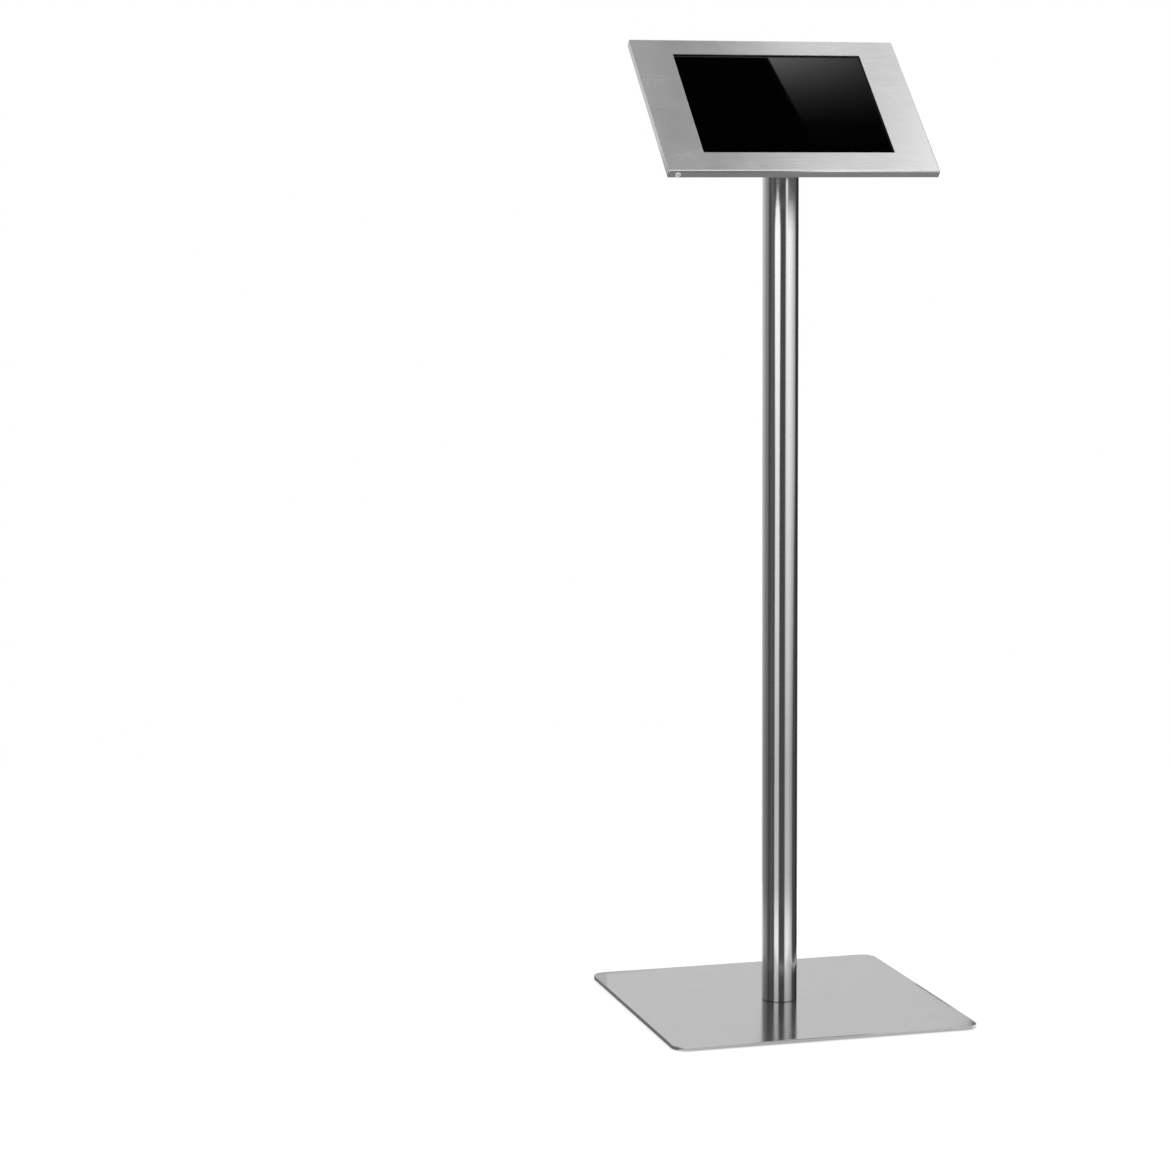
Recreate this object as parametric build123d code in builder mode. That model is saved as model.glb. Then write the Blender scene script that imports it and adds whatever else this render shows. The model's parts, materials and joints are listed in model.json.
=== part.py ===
from build123d import *
import os
from math import cos, radians, sin

# Floor stand that holds a tablet under a locked, hinged steel cover.
# Millimetres. The floor is Z = 0, the pole stands on the Z axis and the user stands at -Y.

# Base plate and its feet
base_width = 420.0
base_depth = 420.0
base_thickness = 5.0
base_corner_radius = 20.0
base_edge_radius = 0.8
foot_diameter = 25.0
foot_height = 1.5
foot_inset = 36.0
foot_edge_radius = 0.4

# Pole
pole_diameter = 48.3
pole_wall = 2.0
pole_joint_gap = 0.12

# Plug in the foot of the pole, and the screws that hold the base to it
plug_height = 20.0
plug_gap = 0.1
plug_bore_diameter = 12.0
plug_chamfer = 1.0
foot_screw_count = 4
foot_screw_circle = 29.0
foot_screw_diameter = 6.0
foot_screw_hole_diameter = 6.6
foot_screw_head_diameter = 11.6
foot_screw_head_height = 2.8
foot_screw_length = 20.0
foot_screw_recess = 0.2
foot_screw_socket = 4.0
foot_screw_socket_depth = 1.8
thread_gap = 0.05

# Cable outlet low on the back of the pole
outlet_height = 62.0
outlet_diameter = 16.0
outlet_bore_diameter = 9.0
outlet_flange_diameter = 21.0
outlet_flange_height = 2.4
outlet_lip = 2.0
outlet_relief_diameter = 11.0
outlet_inner_depth = 2.0
outlet_flange_round = 0.7

# Tablet
tablet_width = 281.0
tablet_length = 215.0
tablet_thickness = 6.4
tablet_corner_radius = 18.0
tablet_back_radius = 1.6
tablet_front_radius = 0.3
glass_thickness = 0.7
glass_inset = 0.6
display_border = 8.5
display_thickness = 0.9
pad_width = 52.0
pad_length = 26.0
pad_inset = 18.0
port_width = 9.0
port_height = 3.2
port_depth = 7.0

# Head: the folded cover is the outline, and its margins lie outside the tablet
cover_side_margin = 44.5
cover_end_margin = 21.5
head_depth = 11.0
head_tilt = 43.5
head_centre_height = 1205.0
head_forward = 3.75
sheet = 1.5
bend_radius = 1.0
cover_corner_radius = 1.2

# Window in the cover, which covers the tablet's borders, and its gasket
window_side_overlap = 9.5
window_end_overlap = 11.0
window_raise = 3.0
gasket_setback = 1.0
gasket_band = 7.0
gasket_thickness = 0.7
gasket_corner_radius = 3.0
gasket_rest_gap = 0.3

# Tray behind the cover
tray_side_gap = 0.5
tray_wall_height = 8.0
tray_corner_slit = 3.5
tray_opening_margin = 35.0
tray_opening_length = 80.0
tray_opening_radius = 8.0

# Hinge along the upper edge of the head
hinge_end_margin = 14.0
hinge_knuckle_count = 19
hinge_knuckle_gap = 0.4
hinge_barrel_radius = 2.5
hinge_pin_radius = 1.2
hinge_pin_gap = 0.05
hinge_leaf_thickness = 1.5
hinge_leaf_gap = 0.5
hinge_leaf_clearance = 0.7
hinge_axis_out = 1.2
hinge_leaf_setback = 0.7

# Box for the cable behind the tray
box_side_margin = 20.0
box_length = 100.0
box_depth = 17.5
box_corner_radius = 7.0
box_bend_radius = 1.5
box_flange = 9.0
box_flange_corner_radius = 12.0
box_hole_diameter = 30.0
box_grommet_bore_diameter = 22.0
box_grommet_lip = 3.0
box_grommet_lip_thickness = 1.4
box_grommet_gap = 0.05

# Plate on the mitred top of the pole
plate_width = 112.0
plate_length = 86.0
plate_thickness = 5.0
plate_corner_radius = 8.0
plate_hole_diameter = 38.0
head_screw_spacing_across = 88.0
head_screw_spacing_up = 62.0
head_screw_diameter = 6.0
head_screw_hole_diameter = 6.6
head_screw_head_diameter = 10.5
head_screw_head_height = 3.3
head_screw_head_round = 2.0
head_screw_length = 8.0
head_screw_socket = 4.0
head_screw_socket_depth = 2.0
washer_diameter = 12.5
washer_bore_diameter = 6.4
washer_thickness = 1.6

# Buttons on the tablet's edges
button_width = 2.4
button_length = 12.0
button_rise = 0.5
button_inside = 1.2
button_travel = 0.3
button_gap = 0.1
button_pocket_spare = 0.3
button_edge_round = 0.2
power_from_corner = 52.0
volume_from_corner = 56.0
volume_spacing = 17.0

# Holders at the four corners of the tablet
holder_gap = 0.4
holder_side_band = 14.0
holder_end_band = 8.0
holder_side_reach = 30.0
holder_end_reach = 34.0
holder_height = 6.3
holder_corner_radius = 3.0
holder_edge_chamfer = 0.6
holder_screw_diameter = 3.0
holder_screw_head_diameter = 6.0
holder_screw_head_height = 1.6
holder_screw_first = 9.0
holder_screw_spacing = 20.0
holder_screw_socket = 2.0
holder_screw_socket_depth = 0.9

# Lock in the lower lip of the cover
lock_from_side = 13.0
lock_out = 4.75
lock_flange_radius = 3.8
lock_flange_height = 1.3
lock_flange_chamfer = 0.35
lock_body_radius = 2.9
lock_body_length = 14.0
lock_hole_gap = 0.1
lock_core_radius = 1.8
lock_core_gap = 0.06
lock_core_recess = 0.25
lock_key_width = 0.7
lock_key_length = 2.6
lock_key_depth = 7.0
lock_tail = 0.8
lock_bar_thickness = 1.6
lock_bar_width = 2.2
lock_bar_half_length = 2.8
lock_screw_radius = 0.7
lock_screw_head_radius = 1.4
lock_screw_head_height = 0.7
lock_screw_depth = 3.0
clip_thickness = 0.8
clip_width = 10.0
clip_length = 7.3
clip_groove_depth = 0.4
clip_gap = 0.05
notch_half_width = 6.2
notch_reach = 4.0

# Keeper on the tray whose pocket the lock's bar turns in
keeper_turn_gap = 0.15
keeper_wall = 1.0
keeper_roof = 0.6
keeper_mouth_gap = 0.5
keeper_foot = 4.0
keeper_foot_thickness = 1.0
keeper_front_gap = 0.2
keeper_pocket_reach = 1.2
keeper_back_wall = 1.6
lock_screw_end_gap = 0.15

# Overrun of every cutting solid
overrun = 2.0

# Worked-out places
base_bottom = foot_height
base_top = base_bottom + base_thickness
pole_radius = pole_diameter / 2
pole_bore_radius = pole_radius - pole_wall
tilt = radians(head_tilt)

# The head's own frame: x across, y up the slope, z out of the face. Its origin is the middle of the
# plane that the cover's lips end in.
head = Plane(
    origin=(0, -head_forward, head_centre_height),
    x_dir=(1, 0, 0),
    z_dir=(0, -sin(tilt), cos(tilt)),
)


def face_plane(across, up, out):
    """Plane parallel to the head's face; x is across and y is up the slope."""
    return Plane(origin=head.from_local_coords((across, up, out)), x_dir=head.x_dir, z_dir=head.z_dir)


def side_plane(across):
    """Plane across the head at one place; x is up the slope and y is out of the face."""
    return Plane(origin=head.from_local_coords((across, 0, 0)), x_dir=head.y_dir, z_dir=head.x_dir)


def edge_plane(across, up, out):
    """Plane that faces down the slope, like the cover's lower lip; x is across and y is out."""
    return Plane(origin=head.from_local_coords((across, up, out)), x_dir=head.x_dir, z_dir=-head.y_dir)


def write(piece, name):
    """Label one finished piece and write it."""
    piece.part.label = name
    export_step(piece.part, f"parts/{name}.step")


os.makedirs("parts", exist_ok=True)

head_width = tablet_width + 2 * cover_side_margin
head_length = tablet_length + 2 * cover_end_margin
window_width = tablet_width - 2 * window_side_overlap
window_length = tablet_length - 2 * window_end_overlap
display_width = tablet_width - 2 * display_border
display_length = tablet_length - 2 * display_border
tray_opening_width = head_width - 2 * tray_opening_margin
box_width = head_width - 2 * box_side_margin
hinge_length = head_width - 2 * hinge_end_margin

cover_half_width = head_width / 2
cover_half_length = head_length / 2
cover_bend_outer = bend_radius + sheet
cover_inside = head_depth - sheet
lip_inside_low = -cover_half_length + sheet
lip_inside_high = cover_half_length - sheet

plate_back = -box_depth - plate_thickness
support_up = (head_forward + plate_back * sin(tilt)) / cos(tilt)

hinge_up = lip_inside_high - hinge_barrel_radius - hinge_leaf_gap
hinge_reach = hinge_barrel_radius + hinge_leaf_gap
tray_width = head_width - 2 * (sheet + tray_side_gap)
tray_low = lip_inside_low + tray_side_gap
tray_high = hinge_up - hinge_reach
tray_length = tray_high - tray_low
tray_middle = (tray_high + tray_low) / 2

tablet_front = cover_inside - gasket_thickness - gasket_rest_gap
tablet_back = tablet_front - tablet_thickness
tablet_half_width = tablet_width / 2
tablet_top = window_raise + tablet_length / 2

lock_across = -cover_half_width + lock_from_side
lock_body_end = -cover_half_length + lock_body_length
lock_bar_start = lock_body_end + lock_tail
lock_bar_end = lock_bar_start + lock_bar_thickness
lock_face = -cover_half_length - lock_flange_height

# Base plate
with BuildPart() as base_plate:
    with BuildSketch(Plane.XY.offset(base_bottom)):
        RectangleRounded(base_width, base_depth, base_corner_radius)
    extrude(amount=base_thickness)
    fillet(faces().sort_by(Axis.Z)[-1].edges(), radius=base_edge_radius)
    with Locations(Plane(origin=(0, 0, base_bottom), x_dir=(1, 0, 0), z_dir=(0, 0, -1))):
        with PolarLocations(foot_screw_circle / 2, foot_screw_count):
            CounterSinkHole(
                radius=foot_screw_hole_diameter / 2,
                counter_sink_radius=foot_screw_head_diameter / 2 + foot_screw_recess,
                counter_sink_angle=90,
            )
write(base_plate, "base_plate")

# Four rubber feet
with BuildPart() as base_feet:
    with BuildSketch():
        with GridLocations(base_width - 2 * foot_inset, base_depth - 2 * foot_inset, 2, 2):
            Circle(foot_diameter / 2)
    extrude(amount=foot_height)
    fillet(edges().group_by(Axis.Z)[0], radius=foot_edge_radius)
write(base_feet, "base_rubber_feet")

# Pole, cut at its top to the slope of the head
with BuildPart() as pole:
    with BuildSketch(Plane.XY.offset(base_top)):
        Circle(pole_radius)
        Circle(pole_bore_radius, mode=Mode.SUBTRACT)
    extrude(amount=head_centre_height)
    split(bisect_by=face_plane(0, 0, plate_back), keep=Keep.BOTTOM)
    with BuildSketch(Plane(origin=(0, 0, outlet_height), x_dir=(1, 0, 0), z_dir=(0, 1, 0))):
        Circle(outlet_diameter / 2)
    extrude(amount=pole_diameter, mode=Mode.SUBTRACT)
write(pole, "pole_tube")

# Plug welded into the foot of the pole
with BuildPart() as foot_plug:
    with BuildSketch(Plane.XY.offset(base_top)):
        Circle(pole_bore_radius - plug_gap)
        Circle(plug_bore_diameter / 2, mode=Mode.SUBTRACT)
        with PolarLocations(foot_screw_circle / 2, foot_screw_count):
            Circle(foot_screw_diameter / 2 + thread_gap, mode=Mode.SUBTRACT)
    extrude(amount=plug_height)
    chamfer(edges().group_by(Axis.Z)[-1].sort_by(SortBy.LENGTH)[-1], length=plug_chamfer)
write(foot_plug, "pole_foot_plug")

# Countersunk screws from below, through the base into the plug
screw_seat = base_bottom + foot_screw_recess
with BuildPart() as foot_screws:
    with BuildSketch(Plane.XY.offset(screw_seat)):
        with PolarLocations(foot_screw_circle / 2, foot_screw_count):
            Circle(foot_screw_diameter / 2)
    extrude(amount=foot_screw_length)
    with BuildSketch(Plane.XY.offset(screw_seat)):
        with PolarLocations(foot_screw_circle / 2, foot_screw_count):
            Circle(foot_screw_head_diameter / 2)
    extrude(amount=foot_screw_head_height, taper=45)
    with BuildSketch(Plane.XY.offset(screw_seat)):
        with PolarLocations(foot_screw_circle / 2, foot_screw_count):
            RegularPolygon(foot_screw_socket / 2, 6, major_radius=False)
    extrude(amount=foot_screw_socket_depth, mode=Mode.SUBTRACT)
write(foot_screws, "foot_screws")

# Rubber bush in the cable outlet, its flanges shaped to the pole and its bore relieved behind the lip
outlet_start = pole_bore_radius - outlet_inner_depth - pole_wall
outlet_end = pole_radius + outlet_flange_height
outlet_plane = Plane(origin=(0, outlet_start, outlet_height), x_dir=(1, 0, 0), z_dir=(0, 1, 0))
with BuildPart() as outlet_grommet:
    with BuildSketch(outlet_plane):
        Circle(outlet_flange_diameter / 2)
    extrude(amount=outlet_end - outlet_start)
    fillet(faces().sort_by(Axis.Y)[-1].edges(), radius=outlet_flange_round)
    with BuildSketch(Plane.XY.offset(outlet_height - outlet_flange_diameter)):
        Circle(pole_radius + pole_joint_gap)
        Circle(pole_bore_radius - pole_joint_gap, mode=Mode.SUBTRACT)
    extrude(amount=2 * outlet_flange_diameter, mode=Mode.SUBTRACT)
    with BuildSketch(outlet_plane):
        Circle(outlet_diameter / 2 - pole_joint_gap)
    extrude(amount=outlet_end - outlet_start - outlet_flange_round)
    with BuildSketch(outlet_plane):
        Circle(outlet_bore_diameter / 2)
    extrude(amount=outlet_end - outlet_start, mode=Mode.SUBTRACT)
    with BuildSketch(outlet_plane):
        Circle(outlet_relief_diameter / 2)
    extrude(amount=outlet_end - outlet_lip - outlet_start, mode=Mode.SUBTRACT)
write(outlet_grommet, "pole_cable_grommet")

# Plate welded to the mitred top of the pole
with BuildPart() as mounting_plate:
    with BuildSketch(face_plane(0, support_up, plate_back)):
        RectangleRounded(plate_width, plate_length, plate_corner_radius)
        Circle(plate_hole_diameter / 2, mode=Mode.SUBTRACT)
        with GridLocations(head_screw_spacing_across, head_screw_spacing_up, 2, 2):
            Circle(head_screw_diameter / 2 + thread_gap, mode=Mode.SUBTRACT)
    extrude(amount=plate_thickness)
write(mounting_plate, "head_mounting_plate")

# Shallow folded box for the cable, flanged to the back of the tray
with BuildPart() as cable_box:
    with BuildSketch(face_plane(0, support_up, -box_depth)):
        RectangleRounded(box_width, box_length, box_corner_radius)
    extrude(amount=box_depth)
    fillet(faces().sort_by(Axis(head.origin, head.z_dir))[0].edges(), radius=box_bend_radius + sheet)
    offset(amount=-sheet, openings=faces().sort_by(Axis(head.origin, head.z_dir))[-1])
    with BuildSketch(face_plane(0, support_up, -sheet)):
        RectangleRounded(box_width + 2 * box_flange, box_length + 2 * box_flange, box_flange_corner_radius)
        RectangleRounded(
            box_width - 2 * sheet,
            box_length - 2 * sheet,
            box_corner_radius - sheet,
            mode=Mode.SUBTRACT,
        )
    extrude(amount=sheet)
    with BuildSketch(face_plane(0, support_up, -box_depth - overrun)):
        Circle(box_hole_diameter / 2)
        with GridLocations(head_screw_spacing_across, head_screw_spacing_up, 2, 2):
            Circle(head_screw_hole_diameter / 2)
    extrude(amount=sheet + 2 * overrun, mode=Mode.SUBTRACT)
write(cable_box, "rear_cable_box")

# Rubber grommet round the cable hole of the box
grommet_low = -box_depth - box_grommet_lip_thickness
grommet_high = -box_depth + sheet + box_grommet_lip_thickness
with BuildPart() as box_grommet:
    with BuildSketch(face_plane(0, support_up, grommet_low)):
        Circle(box_hole_diameter / 2 + box_grommet_lip)
    extrude(amount=grommet_high - grommet_low)
    with BuildSketch(face_plane(0, support_up, -box_depth)):
        Circle(box_hole_diameter / 2 + box_grommet_lip + overrun)
        Circle(box_hole_diameter / 2 - box_grommet_gap, mode=Mode.SUBTRACT)
    extrude(amount=sheet, mode=Mode.SUBTRACT)
    with BuildSketch(face_plane(0, support_up, grommet_low)):
        Circle(box_grommet_bore_diameter / 2)
    extrude(amount=grommet_high - grommet_low, mode=Mode.SUBTRACT)
write(box_grommet, "box_cable_grommet")

# Washers and button-head screws inside the box
box_floor = -box_depth + sheet
with BuildPart() as head_washers:
    with BuildSketch(face_plane(0, support_up, box_floor)):
        with GridLocations(head_screw_spacing_across, head_screw_spacing_up, 2, 2):
            Circle(washer_diameter / 2)
            Circle(washer_bore_diameter / 2, mode=Mode.SUBTRACT)
    extrude(amount=washer_thickness)
write(head_washers, "head_screw_washers")

screw_head_seat = box_floor + washer_thickness
with BuildPart() as head_screws:
    with BuildSketch(face_plane(0, support_up, screw_head_seat)):
        with GridLocations(head_screw_spacing_across, head_screw_spacing_up, 2, 2):
            Circle(head_screw_head_diameter / 2)
    extrude(amount=head_screw_head_height)
    fillet(edges().group_by(Axis(head.origin, head.z_dir))[-1], radius=head_screw_head_round)
    with BuildSketch(face_plane(0, support_up, screw_head_seat)):
        with GridLocations(head_screw_spacing_across, head_screw_spacing_up, 2, 2):
            Circle(head_screw_diameter / 2)
    extrude(amount=-head_screw_length)
    with BuildSketch(face_plane(0, support_up, screw_head_seat + head_screw_head_height)):
        with GridLocations(head_screw_spacing_across, head_screw_spacing_up, 2, 2):
            RegularPolygon(head_screw_socket / 2, 6, major_radius=False)
    extrude(amount=-head_screw_socket_depth, mode=Mode.SUBTRACT)
write(head_screws, "head_screws")

# Folded tray
holder_screw_across = tablet_half_width + holder_gap + holder_side_band / 2
holder_screw_up = tablet_length / 2 - holder_screw_first
with BuildPart() as tray:
    with BuildSketch(face_plane(0, tray_middle, 0)):
        Rectangle(tray_width, tray_length)
    extrude(amount=tray_wall_height)
    fillet(faces().sort_by(Axis(head.origin, head.z_dir))[0].edges(), radius=cover_bend_outer)
    offset(amount=-sheet, openings=faces().sort_by(Axis(head.origin, head.z_dir))[-1])
    with BuildSketch(face_plane(0, tray_middle, cover_bend_outer)):
        with GridLocations(tray_width, tray_length, 2, 2):
            Rectangle(tray_corner_slit, tray_corner_slit)
    extrude(amount=tray_wall_height, mode=Mode.SUBTRACT)
    with BuildSketch(face_plane(0, support_up, -overrun)):
        RectangleRounded(tray_opening_width, tray_opening_length, tray_opening_radius)
    extrude(amount=sheet + 2 * overrun, mode=Mode.SUBTRACT)
    with BuildSketch(face_plane(lock_across, tray_low, -overrun)):
        Rectangle(2 * notch_half_width, 2 * notch_reach)
    extrude(amount=tray_wall_height + 2 * overrun, mode=Mode.SUBTRACT)
    with BuildSketch(face_plane(0, window_raise, -overrun)):
        for side in (-1, 1):
            for end in (-1, 1):
                with Locations(
                    (side * holder_screw_across, end * holder_screw_up),
                    (side * holder_screw_across, end * (holder_screw_up - holder_screw_spacing)),
                ):
                    Circle(holder_screw_diameter / 2 + thread_gap)
    extrude(amount=sheet + 2 * overrun, mode=Mode.SUBTRACT)
write(tray, "back_tray")

# Hinge: two leaves whose knuckles take turns along one pin
knuckle_pitch = hinge_length / hinge_knuckle_count
knuckle_length = knuckle_pitch - hinge_knuckle_gap
leaf_start = hinge_axis_out + hinge_barrel_radius + hinge_leaf_clearance


def hinge_leaf(first, side, leaf_end):
    """One leaf: first is its first knuckle, side is the way it lies from the axis up the slope."""
    knuckles = [
        side_plane(-hinge_length / 2 + index * knuckle_pitch + hinge_knuckle_gap / 2)
        for index in range(first, hinge_knuckle_count, 2)
    ]
    leaf_middle = hinge_up + side * (hinge_reach - hinge_leaf_thickness / 2)
    with BuildPart() as leaf:
        with BuildSketch(side_plane(-hinge_length / 2)):
            with Locations((leaf_middle, (leaf_start + leaf_end) / 2)):
                Rectangle(hinge_leaf_thickness, leaf_end - leaf_start)
        extrude(amount=hinge_length)
        with BuildSketch(*knuckles):
            with Locations((hinge_up, hinge_axis_out)):
                Circle(hinge_barrel_radius)
            with Locations((leaf_middle, (leaf_start + hinge_axis_out) / 2)):
                Rectangle(hinge_leaf_thickness, leaf_start - hinge_axis_out)
        extrude(amount=knuckle_length)
        with BuildSketch(side_plane(-hinge_length / 2)):
            with Locations((hinge_up, hinge_axis_out)):
                Circle(hinge_pin_radius + hinge_pin_gap)
        extrude(amount=hinge_length, mode=Mode.SUBTRACT)
    return leaf


write(hinge_leaf(0, 1, cover_inside - bend_radius - hinge_leaf_setback), "hinge_leaf_cover")
write(hinge_leaf(1, -1, tray_wall_height - hinge_leaf_setback), "hinge_leaf_tray")

with BuildPart() as hinge_pin:
    with BuildSketch(side_plane(-hinge_length / 2)):
        with Locations((hinge_up, hinge_axis_out)):
            Circle(hinge_pin_radius)
    extrude(amount=hinge_length)
write(hinge_pin, "hinge_pin")

# Folded cover with the window and the hole for the lock
with BuildPart() as cover_hollow:
    with BuildSketch(face_plane(0, 0, 0)):
        Rectangle(head_width - 2 * sheet, head_length - 2 * sheet)
    extrude(amount=cover_inside)
    fillet(faces().sort_by(Axis(head.origin, head.z_dir))[-1].edges(), radius=bend_radius)

with BuildPart() as cover:
    with BuildSketch(face_plane(0, 0, 0)):
        RectangleRounded(head_width, head_length, cover_corner_radius)
    extrude(amount=head_depth)
    fillet(faces().sort_by(Axis(head.origin, head.z_dir))[-1].edges(), radius=cover_bend_outer)
    add(cover_hollow.part, mode=Mode.SUBTRACT)
    with BuildSketch(face_plane(0, window_raise, head_depth)):
        Rectangle(window_width, window_length)
    extrude(amount=-sheet, mode=Mode.SUBTRACT)
    with BuildSketch(edge_plane(lock_across, lip_inside_low + overrun, lock_out)):
        Circle(lock_body_radius + lock_hole_gap)
    extrude(amount=sheet + 2 * overrun, mode=Mode.SUBTRACT)
write(cover, "front_cover")

# Gasket behind the edges of the window
gasket_inner_width = window_width + 2 * gasket_setback
gasket_inner_length = window_length + 2 * gasket_setback
with BuildPart() as gasket:
    with BuildSketch(face_plane(0, window_raise, cover_inside)):
        RectangleRounded(
            gasket_inner_width + 2 * gasket_band,
            gasket_inner_length + 2 * gasket_band,
            gasket_corner_radius,
        )
        Rectangle(gasket_inner_width, gasket_inner_length, mode=Mode.SUBTRACT)
    extrude(amount=-gasket_thickness)
write(gasket, "window_gasket")

# Tablet: shell, glass and display
button_middle = (tablet_front + tablet_back) / 2
button_depth = button_inside + button_travel + button_pocket_spare
power_up = tablet_top - power_from_corner
volume_across = -tablet_half_width + volume_from_corner
left_edge = Plane(
    origin=head.from_local_coords((-tablet_half_width, power_up, button_middle)),
    x_dir=head.y_dir,
    z_dir=head.x_dir,
)
right_edge = Plane(
    origin=head.from_local_coords((tablet_half_width, window_raise, button_middle)),
    x_dir=head.y_dir,
    z_dir=head.x_dir,
)


def top_edge(across):
    """Plane on the tablet's upper edge that faces into the tablet."""
    return edge_plane(across, tablet_top, button_middle)


with BuildPart() as tablet_shell:
    with BuildSketch(face_plane(0, window_raise, tablet_back)):
        RectangleRounded(tablet_width, tablet_length, tablet_corner_radius)
    extrude(amount=tablet_thickness)
    fillet(faces().sort_by(Axis(head.origin, head.z_dir))[0].edges(), radius=tablet_back_radius)
    fillet(faces().sort_by(Axis(head.origin, head.z_dir))[-1].edges(), radius=tablet_front_radius)
    with BuildSketch(face_plane(0, window_raise, tablet_front)):
        RectangleRounded(
            tablet_width - 2 * glass_inset,
            tablet_length - 2 * glass_inset,
            tablet_corner_radius - glass_inset,
        )
    extrude(amount=-glass_thickness, mode=Mode.SUBTRACT)
    with BuildSketch(face_plane(0, window_raise, tablet_front - glass_thickness)):
        Rectangle(display_width, display_length)
    extrude(amount=-display_thickness, mode=Mode.SUBTRACT)
    with BuildSketch(left_edge, top_edge(volume_across), top_edge(volume_across + volume_spacing)):
        SlotOverall(button_length + 2 * button_gap, button_width + 2 * button_gap)
    extrude(amount=button_depth, mode=Mode.SUBTRACT)
    with BuildSketch(right_edge):
        SlotOverall(port_width, port_height)
    extrude(amount=-port_depth, mode=Mode.SUBTRACT)
write(tablet_shell, "tablet_housing")

with BuildPart() as tablet_glass:
    with BuildSketch(face_plane(0, window_raise, tablet_front)):
        RectangleRounded(
            tablet_width - 2 * glass_inset,
            tablet_length - 2 * glass_inset,
            tablet_corner_radius - glass_inset,
        )
    extrude(amount=-glass_thickness)
write(tablet_glass, "tablet_glass")

with BuildPart() as tablet_display:
    with BuildSketch(face_plane(0, window_raise, tablet_front - glass_thickness)):
        Rectangle(display_width, display_length)
    extrude(amount=-display_thickness)
write(tablet_display, "tablet_display")

# Buttons of the tablet
for name, plane in (
    ("tablet_power_button", left_edge),
    ("tablet_volume_up_button", top_edge(volume_across)),
    ("tablet_volume_down_button", top_edge(volume_across + volume_spacing)),
):
    with BuildPart() as button:
        with BuildSketch(plane.offset(-button_rise)):
            SlotOverall(button_length, button_width)
        extrude(amount=button_rise + button_inside)
        fillet(faces().sort_by(Axis(plane.origin, plane.z_dir))[0].edges(), radius=button_edge_round)
    write(button, name)

# Foam pads between the tray and the tablet
with BuildPart() as pads:
    with BuildSketch(face_plane(0, window_raise, sheet)):
        with GridLocations(
            tablet_width - 2 * pad_inset - pad_width,
            tablet_length - 2 * pad_inset - pad_length,
            2,
            2,
        ):
            Rectangle(pad_width, pad_length)
    extrude(amount=tablet_back - sheet)
write(pads, "tablet_foam_pads")

# Corner holders that keep the tablet in its place, and their screws
holder_top = sheet + holder_height
for name, side, end in (
    ("corner_holder_upper_left", -1, 1),
    ("corner_holder_upper_right", 1, 1),
    ("corner_holder_lower_left", -1, -1),
    ("corner_holder_lower_right", 1, -1),
):
    block_width = holder_side_reach + holder_gap + holder_side_band
    block_length = holder_end_reach + holder_gap + holder_end_band
    with BuildPart() as holder:
        with BuildSketch(face_plane(0, window_raise, sheet)):
            with Locations((
                side * (tablet_half_width - holder_side_reach + block_width / 2),
                end * (tablet_length / 2 - holder_end_reach + block_length / 2),
            )):
                RectangleRounded(block_width, block_length, holder_corner_radius)
            RectangleRounded(
                tablet_width + 2 * holder_gap,
                tablet_length + 2 * holder_gap,
                tablet_corner_radius + holder_gap,
                mode=Mode.SUBTRACT,
            )
        extrude(amount=holder_height)
        top_face = faces().sort_by(Axis(head.origin, head.z_dir))[-1]
        chamfer(top_face.edges().filter_by(GeomType.LINE), length=holder_edge_chamfer)
        with Locations(face_plane(0, window_raise, holder_top)):
            with Locations(
                (side * holder_screw_across, end * holder_screw_up),
                (side * holder_screw_across, end * (holder_screw_up - holder_screw_spacing)),
            ):
                CounterSinkHole(
                    radius=holder_screw_diameter / 2 + thread_gap,
                    counter_sink_radius=holder_screw_head_diameter / 2,
                    counter_sink_angle=90,
                )
    write(holder, name)

holder_screw_places = [
    (side * holder_screw_across, end * (holder_screw_up - step))
    for side in (-1, 1)
    for end in (-1, 1)
    for step in (0, holder_screw_spacing)
]
with BuildPart() as holder_screws:
    with BuildSketch(face_plane(0, window_raise, holder_top)):
        with Locations(*holder_screw_places):
            Circle(holder_screw_diameter / 2)
    extrude(amount=-holder_top)
    with BuildSketch(face_plane(0, window_raise, holder_top)):
        with Locations(*holder_screw_places):
            Circle(holder_screw_head_diameter / 2 - thread_gap)
    extrude(amount=-holder_screw_head_height, taper=45)
    with BuildSketch(face_plane(0, window_raise, holder_top)):
        with Locations(*holder_screw_places):
            RegularPolygon(holder_screw_socket / 2, 6, major_radius=False)
    extrude(amount=-holder_screw_socket_depth, mode=Mode.SUBTRACT)
write(holder_screws, "corner_holder_screws")

# Lock housing: a flanged barrel through the lower lip, with a groove for its clip
with BuildPart() as lock_housing:
    with BuildSketch(edge_plane(lock_across, lock_body_end, lock_out)):
        Circle(lock_body_radius)
    extrude(amount=lock_body_length)
    with BuildSketch(edge_plane(lock_across, -cover_half_length, lock_out)):
        Circle(lock_flange_radius)
    extrude(amount=lock_flange_height)
    chamfer(edges().group_by(Axis(head.origin, head.y_dir))[0], length=lock_flange_chamfer)
    with BuildSketch(edge_plane(lock_across, lip_inside_low + clip_thickness, lock_out)):
        Circle(lock_body_radius + overrun)
        Circle(lock_body_radius - clip_groove_depth, mode=Mode.SUBTRACT)
    extrude(amount=clip_thickness, mode=Mode.SUBTRACT)
    with BuildSketch(edge_plane(lock_across, lock_body_end, lock_out)):
        Circle(lock_core_radius + lock_core_gap)
    extrude(amount=lock_body_length + lock_flange_height, mode=Mode.SUBTRACT)
write(lock_housing, "lock_housing")

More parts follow.
